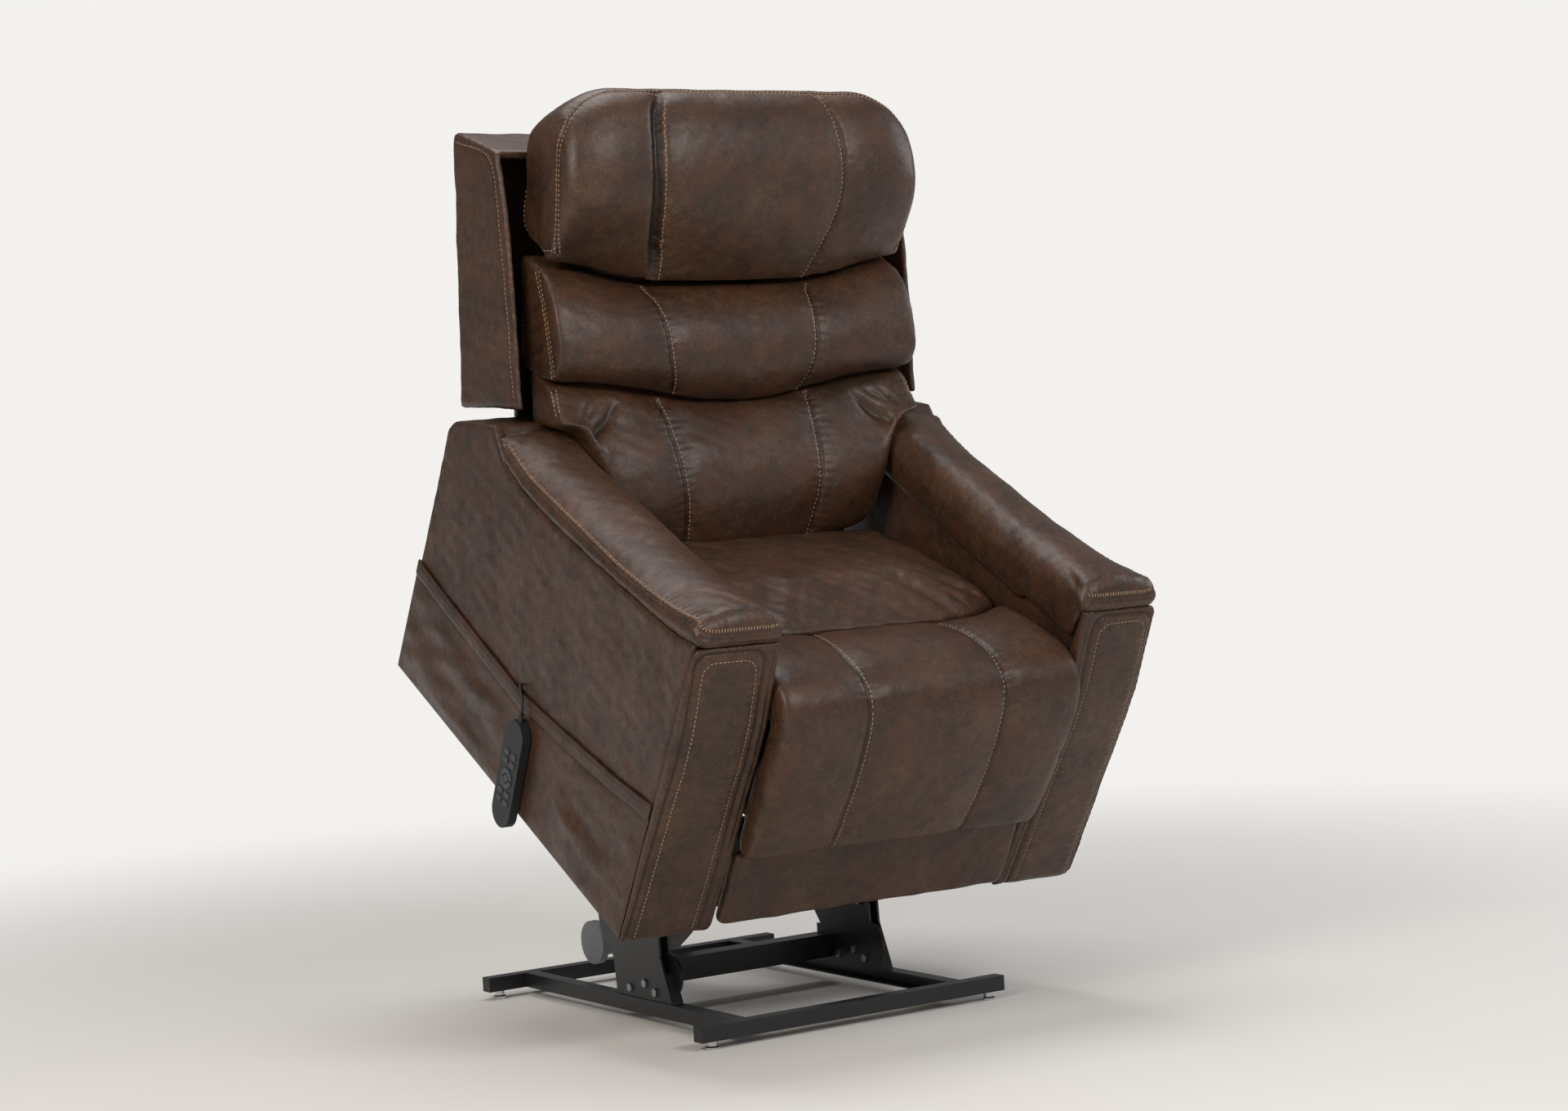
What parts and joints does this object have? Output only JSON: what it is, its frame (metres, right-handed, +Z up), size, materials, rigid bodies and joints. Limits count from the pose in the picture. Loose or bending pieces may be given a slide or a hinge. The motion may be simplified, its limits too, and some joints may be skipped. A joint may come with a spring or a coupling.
{
  "type": "lift recliner chair",
  "caption": "Powered lift recliner: upholstered body on a steel base, shown raised and tilted, with reclining back, headrest, folding footrest and a corded handset in a side pocket.",
  "frame": {"origin": "on the floor under the middle of the raised chair's bounding box", "axes": "+Z up, +Y to the chair's rear, +X to the right of someone who looks at its front"},
  "size_m": [0.9068, 1.0109, 1.5453],
  "materials": {
    "leather": "distressed dark brown, soft sheen",
    "frame_black": "satin black powder coat",
    "black_plastic": "fine texture",
    "chrome": "bright",
    "zinc": "zinc plated",
    "motor_grey": "moulded grey",
    "board": "bare plywood",
    "cord_rubber": "matt",
    "key_grey": "soft touch"
  },
  "bodies": {
    "base": {"front_crossbar": "frame_black", "rear_crossbar": "frame_black", "side_rails": "frame_black", "base_cross_tube": "frame_black", "crossbar_end_caps": "black_plastic", "glide_feet": "chrome", "lift_bracket_left": "frame_black", "lift_bracket_right": "frame_black", "lift_fasteners": "zinc"},
    "front_links": {"front_lift_links": "frame_black"},
    "rear_links": {"rear_lift_links": "frame_black"},
    "lift_actuator": {"lift_actuator_housing": "black_plastic", "lift_motor": "motor_grey"},
    "lift_rod": {"lift_actuator_rod": "zinc"},
    "chassis": {"riser_plates": "frame_black", "chassis_pins": "zinc", "seat_frame": "frame_black", "seat_deck": "board", "arm_mounts": "frame_black", "power_supply": "black_plastic", "arm_frame_left": "board", "arm_frame_right": "board", "side_panel_left": "leather", "side_panel_right": "leather", "inner_panels": "leather", "arm_pad_left": "leather", "arm_pad_right": "leather", "front_panel_left": "leather", "front_panel_right": "leather", "lower_front_rail": "leather", "rear_apron": "leather", "side_pocket": "leather", "seat_cushion": "leather", "seat_bolster": "leather", "footrest_actuator": "black_plastic", "handset_cord": "cord_rubber", "handset_cord_coil": "cord_rubber"},
    "recline_actuator": {"recline_actuator_housing": "black_plastic"},
    "recline_rod": {"recline_actuator_rod": "zinc"},
    "back": {"back_frame": "frame_black", "back_shell": "leather", "lower_back_cushion": "leather", "upper_back_cushion": "leather"},
    "headrest": {"headrest_bracket": "frame_black", "headrest_cushion": "leather"},
    "footrest_carriage": {"footrest_carriage": "frame_black"},
    "footrest": {"footrest_board": "board", "footrest_pad": "leather"},
    "handset": {"handset_shell": "black_plastic"},
    "upper_key_1": {"upper_key_1": "key_grey"},
    "upper_key_2": {"upper_key_2": "key_grey"},
    "upper_key_3": {"upper_key_3": "key_grey"},
    "upper_key_4": {"upper_key_4": "key_grey"},
    "ring_key_up": {"ring_key_up": "key_grey"},
    "ring_key_down": {"ring_key_down": "key_grey"},
    "ring_key_centre": {"ring_key_centre": "key_grey"},
    "lower_key_1": {"lower_key_1": "key_grey"},
    "lower_key_2": {"lower_key_2": "key_grey"},
    "lower_key_3": {"lower_key_3": "key_grey"},
    "lower_key_4": {"lower_key_4": "key_grey"}
  },
  "joints": [
    {"name": "lift", "type": "hinge", "parent": "base", "child": "front_links", "pos_m": [0, 0.054, 0.155], "axis": [1, 0, 0], "range_deg": [0, 47.8]},
    {"name": "chassis_pivot", "type": "hinge", "parent": "front_links", "child": "chassis", "pos_m": [0, -0.16374, 0.26263], "axis": [1, 0, 0], "range_deg": [-77.8, 0]},
    {"name": "rear_link_swing", "type": "hinge", "parent": "base", "child": "rear_links", "pos_m": [0, 0.1903, 0.1729], "axis": [1, 0, 0], "range_deg": [0, 39.22]},
    {"name": "lift_actuator_tilt", "type": "hinge", "parent": "base", "child": "lift_actuator", "pos_m": [0, 0.424, 0.075], "axis": [1, 0, 0], "range_deg": [0, 23.66]},
    {"name": "lift_rod_slide", "type": "slide", "parent": "lift_actuator", "child": "lift_rod", "axis": [0, -0.8317, 0.5552], "range_m": [-0.15116, 0]},
    {"name": "recline", "type": "hinge", "parent": "chassis", "child": "back", "pos_m": [0, 0.15966, 0.79449], "axis": [1, 0, 0], "range_deg": [-40, 0]},
    {"name": "recline_actuator_tilt", "type": "hinge", "parent": "chassis", "child": "recline_actuator", "pos_m": [0, -0.04796, 0.48409], "axis": [1, 0, 0], "range_deg": [0, 7.48]},
    {"name": "recline_rod_slide", "type": "slide", "parent": "recline_actuator", "child": "recline_rod", "axis": [0, 0.6902, 0.7236], "range_m": [-0.02991, 0]},
    {"name": "headrest_tilt", "type": "hinge", "parent": "back", "child": "headrest", "pos_m": [0, 0.07196, 1.24038], "axis": [1, 0, 0], "range_deg": [0, 25]},
    {"name": "footrest_slide", "type": "slide", "parent": "chassis", "child": "footrest_carriage", "axis": [0, -0.866, -0.5], "range_m": [0, 0.21]},
    {"name": "footrest_flip", "type": "hinge", "parent": "footrest_carriage", "child": "footrest", "pos_m": [0, -0.39761, 0.5097], "axis": [1, 0, 0], "range_deg": [-85, 0]},
    {"name": "handset_swing", "type": "hinge", "parent": "chassis", "child": "handset", "pos_m": [-0.4537, 0.02721, 0.53789], "axis": [1, 0, 0], "range_deg": [-35, 35]},
    {"name": "press_upper_key_1", "type": "slide", "parent": "handset", "child": "upper_key_1", "axis": [1, 0, 0], "range_m": [0, 0.0008], "stiffness_N_per_m": 400},
    {"name": "press_upper_key_2", "type": "slide", "parent": "handset", "child": "upper_key_2", "axis": [1, 0, 0], "range_m": [0, 0.0008], "stiffness_N_per_m": 400},
    {"name": "press_upper_key_3", "type": "slide", "parent": "handset", "child": "upper_key_3", "axis": [1, 0, 0], "range_m": [0, 0.0008], "stiffness_N_per_m": 400},
    {"name": "press_upper_key_4", "type": "slide", "parent": "handset", "child": "upper_key_4", "axis": [1, 0, 0], "range_m": [0, 0.0008], "stiffness_N_per_m": 400},
    {"name": "press_ring_key_up", "type": "slide", "parent": "handset", "child": "ring_key_up", "axis": [1, 0, 0], "range_m": [0, 0.0008], "stiffness_N_per_m": 400},
    {"name": "press_ring_key_down", "type": "slide", "parent": "handset", "child": "ring_key_down", "axis": [1, 0, 0], "range_m": [0, 0.0008], "stiffness_N_per_m": 400},
    {"name": "press_ring_key_centre", "type": "slide", "parent": "handset", "child": "ring_key_centre", "axis": [1, 0, 0], "range_m": [0, 0.0008], "stiffness_N_per_m": 400},
    {"name": "press_lower_key_1", "type": "slide", "parent": "handset", "child": "lower_key_1", "axis": [1, 0, 0], "range_m": [0, 0.0008], "stiffness_N_per_m": 400},
    {"name": "press_lower_key_2", "type": "slide", "parent": "handset", "child": "lower_key_2", "axis": [1, 0, 0], "range_m": [0, 0.0008], "stiffness_N_per_m": 400},
    {"name": "press_lower_key_3", "type": "slide", "parent": "handset", "child": "lower_key_3", "axis": [1, 0, 0], "range_m": [0, 0.0008], "stiffness_N_per_m": 400},
    {"name": "press_lower_key_4", "type": "slide", "parent": "handset", "child": "lower_key_4", "axis": [1, 0, 0], "range_m": [0, 0.0008], "stiffness_N_per_m": 400}
  ],
  "couplings": [
    {"joint": "chassis_pivot", "follows": "lift", "ratio": -1.6276},
    {"joint": "rear_link_swing", "follows": "lift", "ratio": 0.82052},
    {"joint": "lift_actuator_tilt", "follows": "lift", "ratio": 0.49494},
    {"joint": "lift_rod_slide", "follows": "lift", "m_per_rad": -0.18107},
    {"joint": "recline_actuator_tilt", "follows": "recline", "ratio": -0.18692},
    {"joint": "recline_rod_slide", "follows": "recline", "m_per_rad": 0.042705},
    {"joint": "footrest_flip", "follows": "footrest_slide", "rad_per_m": -7.0644}
  ]
}
